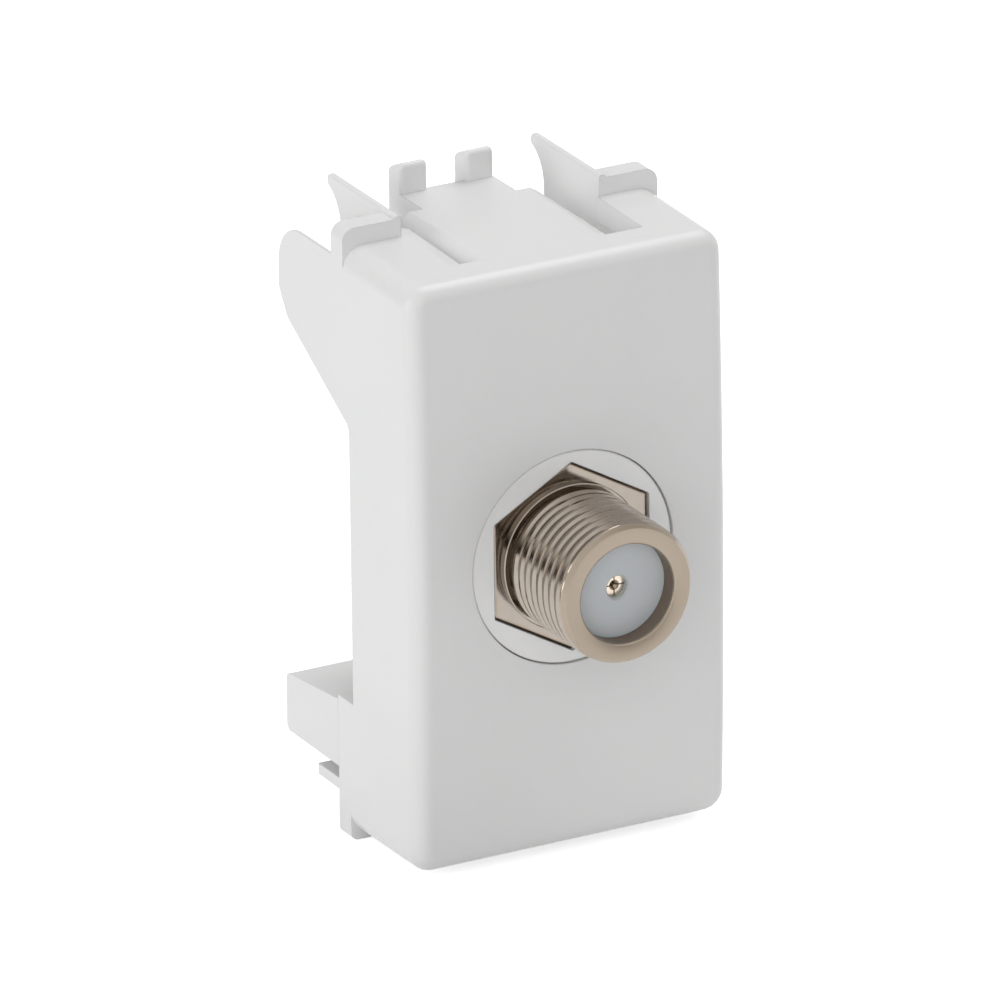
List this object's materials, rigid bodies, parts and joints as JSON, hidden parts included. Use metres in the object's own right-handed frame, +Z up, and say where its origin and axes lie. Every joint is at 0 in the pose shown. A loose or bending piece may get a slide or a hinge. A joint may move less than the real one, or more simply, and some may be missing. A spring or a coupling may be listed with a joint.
{
  "type": "tv antenna socket module",
  "caption": "Narrow upright wall module with a crowned front, a threaded coaxial socket on a hexagon in its middle, and a latch tongue, fins and ears behind.",
  "frame": {"origin": "where the barrel's axis meets the front face of the housing, in the middle of its crown", "axes": "+Z up along the housing's height, +X to the right seen from the front, -Y out of the wall along the barrel's axis"},
  "size_m": [0.0228, 0.0259, 0.0425],
  "materials": {
    "housing_plastic": "white moulding, satin to gloss",
    "carrier_plastic": "white moulding, satin to gloss",
    "plated_brass": "bright nickel plating",
    "insulator": "translucent milky insulator",
    "contact_bronze": "bright spring bronze",
    "washer_steel": "zinc plated"
  },
  "bodies": {
    "root": {"housing": "housing_plastic", "carrier": "carrier_plastic", "barrel": "plated_brass", "front_bush": "insulator", "rear_bush": "insulator", "contact": "contact_bronze", "spring_washer": "washer_steel", "hex_nut": "plated_brass"}
  },
  "joints": []
}
